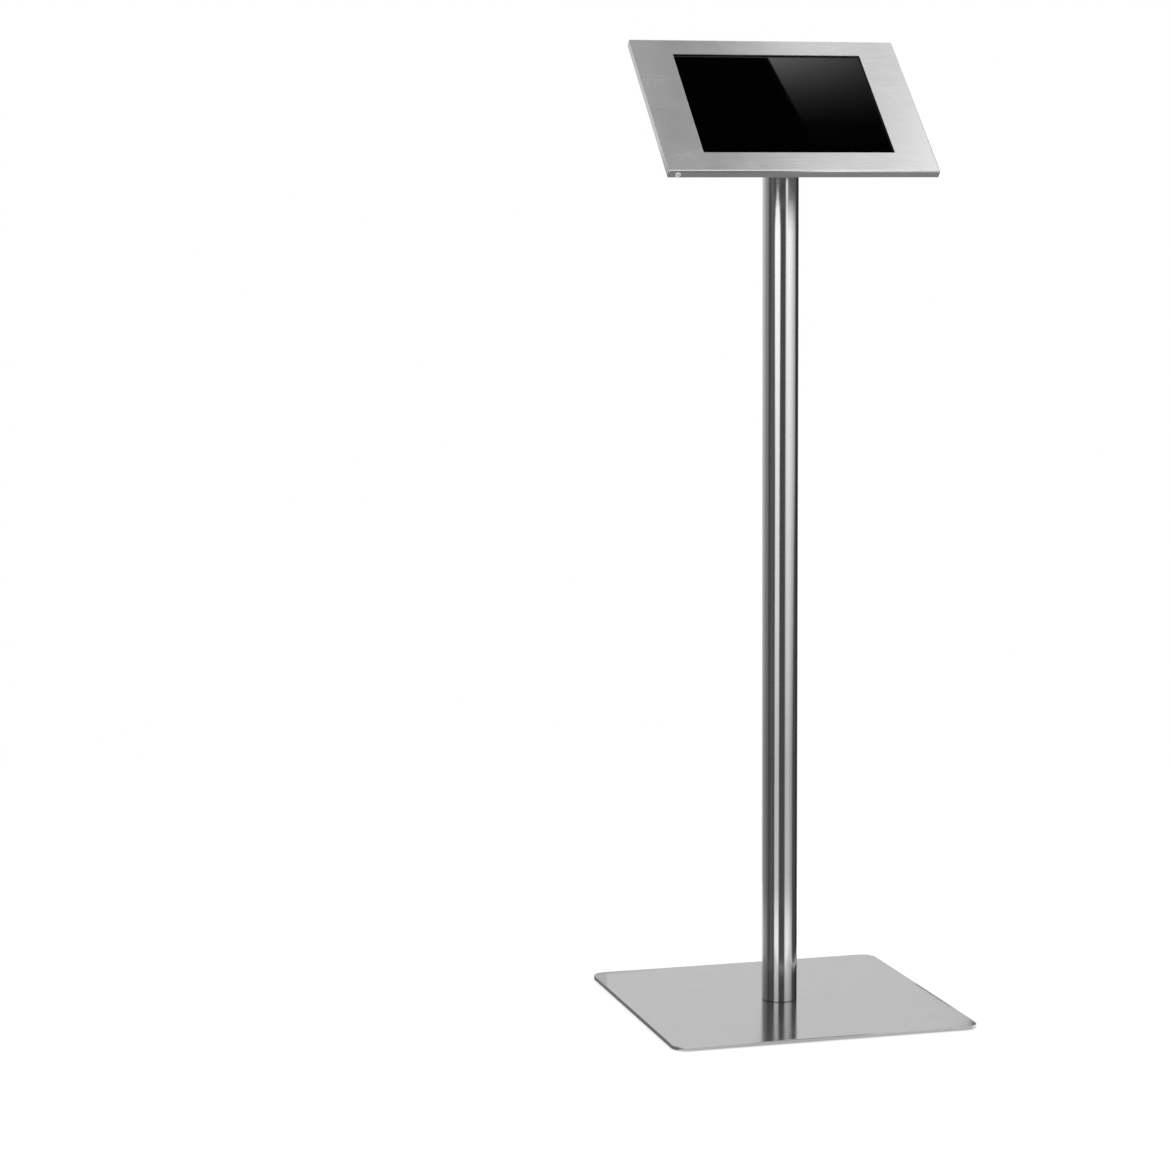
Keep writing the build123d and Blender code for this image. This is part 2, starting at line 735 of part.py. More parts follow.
# Spring clip that holds the housing behind the lip
with BuildPart() as lock_clip:
    with BuildSketch(edge_plane(lock_across, lip_inside_low + clip_thickness - clip_gap, lock_out)):
        Rectangle(clip_width, clip_length)
        Circle(lock_body_radius - clip_groove_depth + clip_gap, mode=Mode.SUBTRACT)
        with Locations((clip_width / 2, 0)):
            Rectangle(clip_width, 2 * (lock_body_radius - clip_groove_depth + clip_gap), mode=Mode.SUBTRACT)
    extrude(amount=clip_thickness - 2 * clip_gap)
write(lock_clip, "lock_clip")

# Core that the key turns
core_face = lock_face + lock_core_recess
with BuildPart() as lock_core:
    with BuildSketch(edge_plane(lock_across, lock_bar_start, lock_out)):
        Circle(lock_core_radius)
    extrude(amount=lock_bar_start - core_face)
    with BuildSketch(edge_plane(lock_across, core_face, lock_out)):
        Rectangle(lock_key_width, lock_key_length)
    extrude(amount=-lock_key_depth, mode=Mode.SUBTRACT)
    with BuildSketch(edge_plane(lock_across, lock_bar_start, lock_out)):
        Circle(lock_screw_radius + thread_gap)
    extrude(amount=lock_screw_depth, mode=Mode.SUBTRACT)
write(lock_core, "lock_core")

# Bar on the end of the core: it stands out of the face when unlocked and lies across when locked
with BuildPart() as lock_bar:
    with BuildSketch(edge_plane(lock_across, lock_bar_end, lock_out)):
        SlotOverall(2 * lock_bar_half_length, lock_bar_width, rotation=90)
        Circle(lock_screw_radius + thread_gap, mode=Mode.SUBTRACT)
    extrude(amount=lock_bar_thickness)
write(lock_bar, "lock_bar")

with BuildPart() as lock_bar_screw:
    with BuildSketch(edge_plane(lock_across, lock_bar_end + lock_screw_head_height, lock_out)):
        Circle(lock_screw_head_radius)
    extrude(amount=lock_screw_head_height)
    with BuildSketch(edge_plane(lock_across, lock_bar_end, lock_out)):
        Circle(lock_screw_radius)
    extrude(amount=lock_bar_thickness + lock_screw_depth - lock_screw_end_gap)
write(lock_bar_screw, "lock_bar_screw")

# Keeper: the bar stands in the mouth of its round pocket and turns under the two sides of the mouth
keeper_pocket_radius = lock_bar_half_length + keeper_turn_gap
keeper_half_width = keeper_pocket_radius + keeper_wall
keeper_high = lock_out + keeper_pocket_radius + keeper_roof
keeper_mouth = lock_bar_width + 2 * keeper_mouth_gap
keeper_start = lock_bar_start + keeper_front_gap
keeper_pocket_end = lock_bar_end + keeper_pocket_reach
keeper_end = keeper_pocket_end + keeper_back_wall
with BuildPart() as keeper:
    with BuildSketch(edge_plane(lock_across, keeper_end, 0)):
        with Locations((0, sheet + keeper_foot_thickness / 2)):
            Rectangle(2 * (keeper_half_width + keeper_foot), keeper_foot_thickness)
        with Locations((0, (sheet + keeper_high) / 2)):
            Rectangle(2 * keeper_half_width, keeper_high - sheet)
    extrude(amount=keeper_end - keeper_start)
    with BuildSketch(edge_plane(lock_across, keeper_pocket_end, lock_out)):
        Circle(keeper_pocket_radius)
        Rectangle(keeper_mouth, 2 * head_depth)
    extrude(amount=keeper_pocket_end - keeper_start, mode=Mode.SUBTRACT)
write(keeper, "lock_keeper")
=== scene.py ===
import bpy
import json
from math import atan2, cos, pi, radians, sin
from mathutils import Matrix, Vector

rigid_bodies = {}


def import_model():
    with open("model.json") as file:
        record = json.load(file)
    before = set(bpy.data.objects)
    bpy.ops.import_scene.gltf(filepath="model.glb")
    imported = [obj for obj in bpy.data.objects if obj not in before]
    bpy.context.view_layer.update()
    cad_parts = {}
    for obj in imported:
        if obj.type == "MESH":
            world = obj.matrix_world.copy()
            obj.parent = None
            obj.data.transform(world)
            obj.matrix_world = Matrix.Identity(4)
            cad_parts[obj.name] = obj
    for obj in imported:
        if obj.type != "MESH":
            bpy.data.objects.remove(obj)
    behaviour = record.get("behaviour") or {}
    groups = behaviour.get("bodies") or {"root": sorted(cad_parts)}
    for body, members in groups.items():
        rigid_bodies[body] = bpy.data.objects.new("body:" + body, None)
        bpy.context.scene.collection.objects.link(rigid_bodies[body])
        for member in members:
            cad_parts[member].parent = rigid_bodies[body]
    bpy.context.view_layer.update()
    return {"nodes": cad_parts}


# The stand's frame: x to the right, y to the back, z up, with the floor at 0 under the pole.
# Lengths are in metres. Angles are in radians, or in degrees where it says so.

for stray in list(bpy.data.objects):
    bpy.data.objects.remove(stray)

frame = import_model()
nodes = frame["nodes"]
scene = bpy.context.scene
scene.view_settings.view_transform = "Standard"


def aim_camera():
    """The camera that was fitted to the straight edges in the photograph."""
    yaw, pitch, roll = 0.2594, -0.1152, 0.0053
    place = (-1.3062, -3.9027, 1.05045)
    forward = Vector((sin(yaw) * cos(pitch), cos(yaw) * cos(pitch), sin(pitch)))
    flat_right = Vector((cos(yaw), -sin(yaw), 0))
    flat_down = forward.cross(flat_right)
    right = cos(roll) * flat_right + sin(roll) * flat_down
    down = -sin(roll) * flat_right + cos(roll) * flat_down
    data = bpy.data.cameras.new("camera")
    # In millimetres
    data.sensor_width = 36.0
    data.lens = 94.53
    data.clip_start = 0.1
    data.clip_end = 100
    camera = bpy.data.objects.new("camera", data)
    turn = Matrix((right, -down, -forward)).transposed()
    camera.matrix_world = Matrix.Translation(place) @ turn.to_4x4()
    scene.collection.objects.link(camera)
    scene.camera = camera


aim_camera()

WHITE = (1, 1, 1, 1)

# First input, second input and result of the Mix node, for each kind of data
MIX_SOCKETS = {"FLOAT": (2, 3, 0), "VECTOR": (4, 5, 1), "RGBA": (6, 7, 2)}

# How alike the rounded and the flat normal are where an edge starts and where it is full
EDGE_START = 0.97
EDGE_FULL = 0.70
EDGE_SAMPLES = 4


class Nodes:
    """Short way to build the nodes of one material or world."""

    def __init__(self, owner):
        owner.use_nodes = True
        self.tree = owner.node_tree
        self.tree.nodes.clear()

    def add(self, kind, inputs=None, **settings):
        node = self.tree.nodes.new(kind)
        for name, value in settings.items():
            setattr(node, name, value)
        for name, value in (inputs or {}).items():
            socket = node.inputs[name]
            if isinstance(value, bpy.types.NodeSocket):
                self.tree.links.new(value, socket)
            else:
                socket.default_value = value
        return node

    def math(self, operation, a, b=0.0, c=0.0, clamp=False):
        inputs = {0: a, 1: b, 2: c}
        node = self.add("ShaderNodeMath", inputs, operation=operation, use_clamp=clamp)
        return node.outputs[0]

    def plus(self, a, b, clamp=False):
        return self.math("ADD", a, b, clamp=clamp)

    def minus(self, a, b):
        return self.math("SUBTRACT", a, b)

    def times(self, a, b):
        return self.math("MULTIPLY", a, b)

    def place(self):
        """Each point's place in its own object."""
        return self.add("ShaderNodeTexCoord").outputs["Object"]

    def flat_normal(self):
        return self.add("ShaderNodeNewGeometry").outputs["Normal"]

    def axes(self, vector):
        """The vector's parts, under the names X, Y and Z."""
        return self.add("ShaderNodeSeparateXYZ", {"Vector": vector}).outputs

    def vector(self, x, y, z):
        return self.add("ShaderNodeCombineXYZ", {"X": x, "Y": y, "Z": z}).outputs["Vector"]

    def noise(self, vector, scale, detail=3.0, roughness=0.5, distortion=0.0):
        inputs = {
            "Vector": vector, "Scale": scale, "Detail": detail,
            "Roughness": roughness, "Distortion": distortion,
        }
        return self.add("ShaderNodeTexNoise", inputs).outputs["Fac"]

    def mapped(self, vector, scale, rotation=(0, 0, 0), location=(0, 0, 0)):
        inputs = {"Vector": vector, "Scale": scale, "Rotation": rotation, "Location": location}
        return self.add("ShaderNodeMapping", inputs).outputs["Vector"]

    def grey_ramp(self, value, stops):
        """A grey that runs from stop to stop, each stop a pair (value, level)."""
        node = self.add("ShaderNodeValToRGB", {"Fac": value})
        elements = node.color_ramp.elements
        while len(elements) < len(stops):
            elements.new(1.0)
        for element, (place, level) in zip(elements, stops):
            element.position = place
            element.color = (level, level, level, 1.0)
        return node.outputs["Color"]

    def level(self, value, low, high, start=0.0, end=1.0, way="LINEAR"):
        """start up to the low value, end from the high value on, and between them on the way."""
        inputs = {
            "Value": value, "From Min": low, "From Max": high, "To Min": start, "To Max": end,
        }
        node = self.add("ShaderNodeMapRange", inputs, interpolation_type=way, clamp=True)
        return node.outputs["Result"]

    def mix(self, kind, factor, a, b):
        """a where the factor is 0 and b where it is 1. kind: FLOAT, VECTOR or RGBA."""
        first, second, result = MIX_SOCKETS[kind]
        inputs = {"Factor": factor, first: a, second: b}
        return self.add("ShaderNodeMix", inputs, data_type=kind).outputs[result]

    def blend(self, factor, a, b):
        return self.mix("RGBA", factor, a, b)

    def bump(self, height, strength, distance, normal=None):
        inputs = {"Height": height, "Strength": strength, "Distance": distance}
        if normal is not None:
            inputs["Normal"] = normal
        return self.add("ShaderNodeBump", inputs).outputs["Normal"]

    def soft_edge(self, radius, most):
        """The normal of an edge rounded to this radius, and how far each point belongs to
        such an edge, from 0 to most."""
        bevel = self.add("ShaderNodeBevel", {"Radius": radius}, samples=EDGE_SAMPLES)
        rounded = bevel.outputs["Normal"]
        inputs = {0: rounded, 1: self.flat_normal()}
        alike = self.add("ShaderNodeVectorMath", inputs, operation="DOT_PRODUCT").outputs["Value"]
        return rounded, self.level(alike, EDGE_START, EDGE_FULL, 0.0, most)

    def glow(self, strength):
        return self.add("ShaderNodeEmission", {"Color": WHITE, "Strength": strength}).outputs[0]

    def seen(self):
        """1 for rays from the camera, mirrored rays and rays through glass, and 0 for the rest."""
        path = self.add("ShaderNodeLightPath").outputs
        direct = self.plus(path["Is Camera Ray"], path["Is Glossy Ray"], clamp=True)
        return self.plus(direct, path["Is Transmission Ray"], clamp=True)

    def mixed_shader(self, factor, a, b):
        return self.add("ShaderNodeMixShader", {0: factor, 1: a, 2: b}).outputs[0]

    def principled(self, **inputs):
        """A Principled shader. An input's spaces are written as _."""
        inputs = {name.replace("_", " "): value for name, value in inputs.items()}
        return self.add("ShaderNodeBsdfPrincipled", inputs).outputs["BSDF"]

    def finish(self, shader):
        self.add("ShaderNodeOutputMaterial", {"Surface": shader})


def grey(value, warm=0.0):
    return (value * (1 + warm), value, value * (1 - warm), 1.0)


def opaque(colour, times=1.0, plus=0.0):
    """The colour made brighter or darker, with its fourth value."""
    return tuple(min(v * times + plus, 1.0) for v in colour) + (1.0,)


def material(name):
    made = bpy.data.materials.new(name)
    return made, Nodes(made)


# Directions of the brushing: across the stand, and up the slope of the head (43.5 degrees)
ACROSS = (1, 0, 0)
UP_THE_HEAD = (0, 0.725, 0.688)
# Rise of the head over its depth
HEAD_SLOPE = 0.95
# How far a face has to turn towards X to be brushed up the slope
END_START = 0.5
END_FULL = 0.9
# Shares of the fine hair and of the wider streaks in the brushing
HAIR_SHARE = 0.40
STREAK_SHARE = 0.60
# Large patches on the steel, and the smears on it: how many to the metre
CLOUDS = 7.0
SMEARS = 23.0
# Heights between which the painted shade at the pole's foot, where it meets the base, fades out,
# and its strength and tone
FOOT_SHADE_START = 0.0067
FOOT_SHADE_END = 0.0082
FOOT_SHADE_SHARE = 0.75
FOOT_SHADE_TONE = 0.06
# Turn of the stretched reflections against the tangent, as a share of a full turn
QUARTER_TURN = 0.25
METAL_IOR = 2.0
GLASS_IOR = 1.5


def brushing_across(n, axes, fine, slope):
    """Brushing along X, or up the slope on ends that face X. Gives the coordinates for the hair
    and for the streaks, scaled so that one unit is about one of them, and the tangent."""
    facing = n.axes(n.flat_normal())["X"]
    end = n.level(n.math("ABSOLUTE", facing), END_START, END_FULL)
    up = n.math("MULTIPLY_ADD", axes["Z"], slope, axes["Y"])
    off = n.math("MULTIPLY_ADD", axes["Y"], -slope, axes["Z"])
    across = n.vector(axes["X"], up, off)
    upwards = n.vector(up, off, axes["X"])
    along = n.mix("VECTOR", n.math("GREATER_THAN", end, 0.5), across, upwards)
    hair_per_metre, streaks_per_metre = 2500.0 * fine, 310.0 * fine
    hair = n.mapped(along, (12.0, hair_per_metre, hair_per_metre), location=(0.4, 0.3, 0.4))
    streaks = n.mapped(
        along, (24.0, streaks_per_metre, streaks_per_metre), location=(4.4, 2.3, 7.4))
    tangent = n.mix("VECTOR", end, ACROSS, UP_THE_HEAD)
    return hair, streaks, tangent


def brushing_round(n, axes, fine):
    """Brushing round Z, with the same results as brushing_across."""
    turn = n.math("ARCTAN2", axes["Y"], axes["X"])
    rolled = n.vector(turn, 0.0, axes["Z"])
    hair_per_metre, streaks_per_metre = 3400.0 * fine, 300.0 * fine
    hair = n.mapped(rolled, (0.5, 1.0, hair_per_metre))
    streaks = n.mapped(rolled, (0.6, 1.0, streaks_per_metre), location=(4, 2, 7))
    tangent = n.add("ShaderNodeTangent", direction_type="RADIAL", axis="Z").outputs["Tangent"]
    return hair, streaks, tangent


def steel(name, grain, tone, rough, stretch, streak, fine=1.0, edge=0.0004, slope=HEAD_SLOPE):
    """Brushed stainless steel.

    grain: 'across' for brushing_across, 'round' for brushing_round and a painted shade at the
    foot, where the pole meets the base.
    tone: grey level. rough: mean roughness. stretch: how far the brushing draws reflections out.
    streak: share by which the streaks differ in tone. fine: how closely the streaks lie.
    edge: radius of the worn edges. slope: rise of the sheet over its depth.
    """
    cloud_share, cloud_times = 0.16, 0.93
    worn_share, worn_times, worn_most = 0.5, 1.18, 0.9
    brushing_rough, smear_rough, mean_uneven = 0.06, 0.035, 0.04
    relief, relief_depth = 0.03, 0.00003
    made, n = material(name)
    coord = n.place()
    axes = n.axes(coord)
    if grain == "across":
        hair_at, streaks_at, tangent = brushing_across(n, axes, fine, slope)
    else:
        hair_at, streaks_at, tangent = brushing_round(n, axes, fine)
    hair = n.noise(hair_at, 1.0, detail=3.0, roughness=0.6)
    streaks = n.noise(streaks_at, 1.0, detail=3.0, roughness=0.6)
    cloud = n.noise(coord, CLOUDS, detail=4.0, roughness=0.6)
    smear = n.level(n.noise(coord, SMEARS, detail=5.0, roughness=0.62), 0.42, 0.72)
    mixed = n.plus(n.times(hair, HAIR_SHARE), n.times(streaks, STREAK_SHARE))
    low, high = tone * (1 - streak), tone * (1 + streak)
    colour = n.blend(n.level(mixed, 0.3, 0.7), grey(low, 0.004), grey(high, 0.002))
    colour = n.blend(n.times(cloud, cloud_share), colour, grey(tone * cloud_times, 0.006))
    round_edge, wear = n.soft_edge(edge, worn_share)
    colour = n.blend(wear, colour, grey(min(tone * worn_times, worn_most)))
    if grain == "round":
        # Painted shade: a thin dark band at the pole's foot stands in for the shadow in the gap
        # between pole and base
        foot_shade = n.level(axes["Z"], FOOT_SHADE_START, FOOT_SHADE_END, FOOT_SHADE_SHARE, 0.0)
        colour = n.blend(foot_shade, colour, grey(FOOT_SHADE_TONE))
    uneven = n.plus(n.times(mixed, brushing_rough), n.times(smear, smear_rough))
    n.finish(n.principled(
        Base_Color=colour, Metallic=1.0, Roughness=n.plus(uneven, rough - mean_uneven),
        Anisotropic=stretch, Anisotropic_Rotation=QUARTER_TURN, Tangent=tangent,
        Normal=n.bump(mixed, relief, relief_depth, round_edge), IOR=METAL_IOR,
    ))
    return made


def plain_metal(name, colour, rough, grain=260.0, bump=0.12, spots=0.08, edge=0.0003,
                metallic=1.0):
    """Cast, turned or plated metal with a fine uneven surface and brighter edges.

    grain: spots per metre. bump: strength of the finer grain. spots: how far they differ.
    """
    finer = 6
    worn_share, worn_times = 0.6, 1.25
    rough_range = 0.16
    relief_depth = 0.0001
    made, n = material(name)
    coord = n.place()
    small = n.noise(coord, grain * finer, detail=4.0, roughness=0.6)
    large = n.noise(coord, grain, detail=5.0, roughness=0.62, distortion=0.3)
    dark, light = opaque(colour, times=1 - spots), opaque(colour, times=1 + spots)
    base = n.blend(n.level(large, 0.35, 0.68), dark, light)
    round_edge, wear = n.soft_edge(edge, worn_share)
    base = n.blend(wear, base, opaque(colour, times=worn_times))
    n.finish(n.principled(
        Base_Color=base, Metallic=metallic,
        Roughness=n.plus(n.times(large, rough_range), rough - rough_range / 2),
        Normal=n.bump(small, bump, relief_depth, round_edge), IOR=METAL_IOR,
    ))
    return made


def moulded(name, colour, rough, grain=900.0, bump=0.25, depth=0.0002, dust=0.05):
    """Moulded plastic, rubber or foam: speckled colour, uneven gloss and a fine raised grain.

    grain: cells per metre. bump, depth: strength and depth of the grain. dust: added to the
    colour where it is hazy and on the edges.
    """
    finer, hazes = 1.7, 35.0
    haze_share, pore_share, pore_times = 0.35, 0.5, 0.6
    edge, worn_share = 0.0004, 0.4
    rough_range = 0.18
    made, n = material(name)
    coord = n.place()
    cells = n.add("ShaderNodeTexVoronoi", {"Vector": coord, "Scale": grain}).outputs["Distance"]
    pores = n.noise(coord, grain * finer, detail=3.0, roughness=0.6)
    haze = n.noise(coord, hazes, detail=5.0, roughness=0.6)
    light, dark = opaque(colour, plus=dust), opaque(colour, times=pore_times)
    base = n.blend(n.level(haze, 0.45, 0.8, 0.0, haze_share), opaque(colour), light)
    base = n.blend(n.level(pores, 0.55, 0.75, 0.0, pore_share), base, dark)
    round_edge, wear = n.soft_edge(edge, worn_share)
    base = n.blend(wear, base, light)
    n.finish(n.principled(
        Base_Color=base, Roughness=n.plus(n.times(haze, rough_range), rough - rough_range / 2),
        Normal=n.bump(n.plus(cells, pores), bump, depth, round_edge),
    ))
    return made


def screen_glass():
    """Black cover glass: a fully black border, a display area a little less black, and faint
    finger marks."""
    display_half, border_blur = 0.132, 0.0002
    display_black = (0.00035, 0.00036, 0.0004, 1.0)
    border_black = (0.00015, 0.00015, 0.00017, 1.0)
    clean_rough, dot_rough, mark_rough = 0.018, 0.03, 0.05
    relief, relief_depth = 0.01, 0.00002
    made, n = material("screen_glass_black")
    coord = n.place()
    away = n.math("ABSOLUTE", n.axes(coord)["X"])
    border = n.level(away, display_half - border_blur, display_half + border_blur)
    wiped = n.mapped(coord, (26, 17, 17), rotation=(0.3, 0.2, 0.7))
    oil = n.noise(wiped, 1.0, detail=6.0, roughness=0.6, distortion=1.2)
    dots = n.noise(coord, 900.0, detail=2.0)
    marks = n.times(n.level(oil, 0.56, 0.78), mark_rough)
    n.finish(n.principled(
        Base_Color=n.blend(border, display_black, border_black),
        Roughness=n.plus(marks, n.level(dots, 0.6, 0.8, clean_rough, dot_rough)),
        Normal=n.bump(dots, relief, relief_depth), IOR=GLASS_IOR, Coat_Weight=0.0,
    ))
    return made


# The finish of each material that the CAD names
FINISH = {
    "brushed_cover": steel(
        "steel_cover", "across", tone=0.62, rough=0.25, stretch=0.85, streak=0.055),
    "brushed_base": steel(
        "steel_base", "across", tone=0.60, rough=0.15, stretch=0.85, streak=0.03,
        edge=0.0006, slope=0.0),
    "brushed_pole": steel(
        "steel_pole", "round", tone=0.62, rough=0.14, stretch=0.50, streak=0.03),
    "satin_sheet": steel(
        "steel_satin_sheet", "across", tone=0.56, rough=0.34, stretch=0.55, streak=0.05),
    "plain_steel": plain_metal("steel_plain", (0.50, 0.50, 0.49), 0.34),
    "hinge_steel": steel(
        "steel_hinge", "across", tone=0.58, rough=0.28, stretch=0.6, streak=0.05,
        fine=1.5, edge=0.0002),
    "zinc_screws": plain_metal("zinc_plated", (0.64, 0.65, 0.66), 0.28, grain=420.0),
    "lock_chrome": plain_metal(
        "lock_plated", (0.95, 0.95, 0.94), 0.20, grain=500.0, bump=0.04, spots=0.04,
        edge=0.00025, metallic=0.75),
    "black_rubber": moulded("rubber_black", (0.018, 0.018, 0.019), 0.62),
    "black_foam": moulded(
        "foam_black", (0.022, 0.022, 0.023), 0.9, grain=1400.0, bump=0.6, depth=0.0003),
    "black_plastic": moulded(
        "plastic_black", (0.020, 0.020, 0.022), 0.42, grain=1800.0, bump=0.18, depth=0.0001),
    "tablet_aluminium": plain_metal(
        "tablet_shell", (0.34, 0.35, 0.37), 0.36, grain=700.0, bump=0.10, spots=0.03),
    "tablet_buttons": plain_metal(
        "tablet_button", (0.42, 0.43, 0.45), 0.28, grain=700.0, bump=0.06, spots=0.03,
        edge=0.0002),
    "display_black": moulded(
        "display_panel", (0.004, 0.004, 0.005), 0.25, grain=2500.0, bump=0.05,
        depth=0.00005, dust=0.004),
    "screen_glass": screen_glass(),
}
for node in nodes.values():
    for slot in node.material_slots:
        slot.material = FINISH[slot.material.name]

# The studio: a white world, a pale floor, two lamps, and cards that only reflections show.
# The cards give the pole its bands, the head its grades of light and the screen its gloss.

FACING_UP = (0, 1, 2, 3)
FACING_DOWN = (0, 3, 2, 1)


def mesh_object(name, points, faces, finish):
    mesh = bpy.data.meshes.new(name)
    mesh.from_pydata(points, [], faces)
    mesh.materials.append(finish)
    made = bpy.data.objects.new(name, mesh)
    scene.collection.objects.link(made)
    return made


def card(name, points, faces, finish):
    """A mesh that shows only as a reflection: it hides nothing and shades nothing."""
    made = mesh_object(name, points, faces, finish)
    made.visible_camera = False
    made.visible_diffuse = False
    made.visible_shadow = False
    made.visible_transmission = False
    made.visible_volume_scatter = False


def rectangle(x, y, z):
    """The corners of a level rectangle, from its two ranges and its height."""
    return [(x[0], y[0], z), (x[1], y[0], z), (x[1], y[1], z), (x[0], y[1], z)]


def white_backdrop():
    """White where it is seen or mirrored, and a slightly cool light on matt surfaces."""
    world = bpy.data.worlds.new("studio_world")
    scene.world = world
    n = Nodes(world)
    inputs = {"Color": (0.96, 0.98, 1.0, 1.0), "Strength": 0.95}
    fill = n.add("ShaderNodeBackground", inputs).outputs[0]
    white = n.add("ShaderNodeBackground", {"Color": WHITE, "Strength": 1.0}).outputs[0]
    n.add("ShaderNodeOutputWorld", {"Surface": n.mixed_shader(n.seen(), fill, white)})


def pale_floor():
    """Pale floor that keeps the object's shadow and turns to plain white further out."""
    half = 14.0
    fade_start, fade_end, least_glow = 0.7, 2.6, 0.60
    tint_low, tint_high = 0.90, 0.93
    finish, n = material("floor_pale")
    coord = n.place()
    tint = n.level(n.noise(coord, 1.6, detail=4.0), 0.3, 0.7, tint_low, tint_high)
    colour = n.add("ShaderNodeCombineColor", {0: tint, 1: tint, 2: tint}).outputs[0]
    matt = n.add("ShaderNodeBsdfDiffuse", {"Color": colour}).outputs[0]
    away = n.add("ShaderNodeVectorMath", {0: coord}, operation="LENGTH").outputs["Value"]
    share = n.times(n.seen(), n.level(away, fade_start, fade_end, least_glow, 1.0))
    n.finish(n.mixed_shader(share, matt, n.glow(1.0)))
    mesh_object("floor", rectangle((-half, half), (-half, half), 0), [FACING_UP], finish)


# The camera stands this way from the pole, as an angle about Z
TOWARDS_CAMERA = atan2(-0.948, -0.317)
DEGREES_PER_FACE = 3


def ring_card(name, start, end, profile, shade):
    """Card bent round the pole, from start to end degrees to the right of the camera.
    profile(angle) gives the radius and the height of its two edges, and
    shade(nodes, turn, z) gives its level, with the turn in degrees."""
    finish, n = material(name)
    axes = n.axes(n.place())
    turn = n.math("ARCTAN2", axes["Y"], axes["X"])
    turn = n.math("WRAP", n.minus(turn, TOWARDS_CAMERA), pi, -pi)
    n.finish(n.glow(shade(n, n.times(turn, 180 / pi), axes["Z"])))
    count = int((end - start) / DEGREES_PER_FACE)
    points, faces = [], []
    for i in range(count + 1):
        angle = TOWARDS_CAMERA + radians(start + (end - start) * i / count)
        points += [(radius * cos(angle), radius * sin(angle), z) for radius, z in profile(angle)]
        if i:
            faces.append((2 * i - 2, 2 * i, 2 * i + 1, 2 * i - 1))
    card(name, points, faces, finish)


def upright_card(name, start, end, radius, high, shade):
    """Upright ring card that stands on the floor."""
    ring_card(name, start, end, lambda angle: ((radius, 0.0), (radius, high)), shade)


# Heights of a skirt card's two edges, which are above the base plate's top
SKIRT_INNER_Z = 0.010
SKIRT_OUTER_Z = 0.014


def skirt_card(name, start, end, half, outer, shade):
    """Ring card just above the floor, from a square round the base plate, given by half its
    side, out to a radius: the pole's foot mirrors it."""
    def profile(angle):
        inner = half / max(abs(cos(angle)), abs(sin(angle)))
        return (inner, SKIRT_INNER_Z), (outer, SKIRT_OUTER_Z)
    ring_card(name, start, end, profile, shade)


def even(level):
    return lambda n, turn, z: level


def steps(n, value, stops):
    """A level that runs straight from stop to stop, each stop a pair (value, level)."""
    total = stops[0][1]
    for (v0, l0), (v1, l1) in zip(stops, stops[1:]):
        total = n.plus(total, n.level(value, v0, v1, 0.0, l1 - l0))
    return total


# Level of the pole's bands by height
POLE_DIM = [
    (0.0, 1.15), (0.03, 1.1), (0.09, 0.62), (0.28, 0.60), (0.42, 0.76), (0.69, 0.98),
    (0.95, 1.20), (1.05, 1.32),
]
# Level of the bands at the pole's two sides by degrees to the right of the camera
POLE_SIDES = [
    (-150, 0.58), (-132, 0.54), (-118, 0.36), (-100, 0.23), (-86, 0.17), (-77, 0.0), (-66, 0.0),
    (-58, 0.05), (-47, 0.05), (-40, 0.0), (30, 0.0), (36, 0.94), (48, 1.08), (62, 1.06),
    (72, 0.92), (86, 0.68), (99, 0.50), (107, 0.18), (111, 0.0),
]
# Level between the bands
POLE_DARK = 0.09
# Heights between which the bands at the sides end below the head, and the share they lose
SIDES_END = (1.052, 1.098)
SIDES_LOSS = 0.95
# Heights between which the middle band comes to its point
TIP = (1.052, 1.100)
# Heights between which the middle band moves to the left and grows wider, its place in degrees
# to the left of the camera and half its width there, and the level and blur of its sides
WIDENING = (0.69, 1.02)
MIDDLE_PLACE = (18.6, 20.0)
MIDDLE_HALF = (13.6, 17.5)
MIDDLE_LEVEL = 1.15
MIDDLE_BLUR = 2.5
# Low down, the bands past this many degrees are drawn together by this share
SQUEEZE_FROM = 42.0
SQUEEZE = 0.4
SQUEEZE_END = (0.28, 0.70)


def pole_bands(n, turn, z):
    """Bright and dark bands for the pole. They fade downwards, and the middle one ends in a
    blunt point below the head."""
    squeeze = n.level(z, *SQUEEZE_END, SQUEEZE, 0.0)
    past = n.math("MAXIMUM", n.minus(turn, SQUEEZE_FROM), 0.0)
    turn = n.math("MULTIPLY_ADD", past, squeeze, turn)
    sides = steps(n, turn, POLE_SIDES)
    ending = n.level(z, *SIDES_END, 0.0, SIDES_LOSS)
    under_head = n.times(ending, n.level(turn, 38.0, 50.0))
    sides = n.times(sides, n.minus(1.0, under_head))
    # The middle band: how far each point is from its middle, less half its width, in degrees
    tip = n.math("SQRT", n.level(z, *TIP, 1.0, 0.0))
    off_middle = n.math("ABSOLUTE", n.plus(turn, n.level(z, *WIDENING, *MIDDLE_PLACE)))
    less_half = n.times(tip, n.level(z, *WIDENING, *(-half for half in MIDDLE_HALF)))
    past_side = n.plus(less_half, off_middle)
    middle = n.level(past_side, -MIDDLE_BLUR, MIDDLE_BLUR, MIDDLE_LEVEL, 0.0)
    middle = n.times(middle, n.level(tip, 0.0, 0.2))
    bright = n.times(n.plus(sides, middle), steps(n, z, POLE_DIM))
    return n.plus(bright, POLE_DARK)


CEILING = 2.5
# Levels of the overhead card at its left and right, and what its back and front turn to
CEILING_LEFT = 0.50
CEILING_RIGHT = 1.31
CEILING_BACK = 0.42
CEILING_FRONT_TIMES = 0.9
CEILING_FRONT_PLUS = 1.75
# Gloss by the place in the slot, from front to back, and what it is multiplied by
GLOSS_LEVEL = 2.0
GLOSS_RISE = [
    (0.0, 0.0), (0.26, 0.01), (0.40, 0.05), (0.52, 0.105), (0.63, 0.19), (0.74, 0.33),
    (0.86, 0.53), (1.0, 0.84),
]


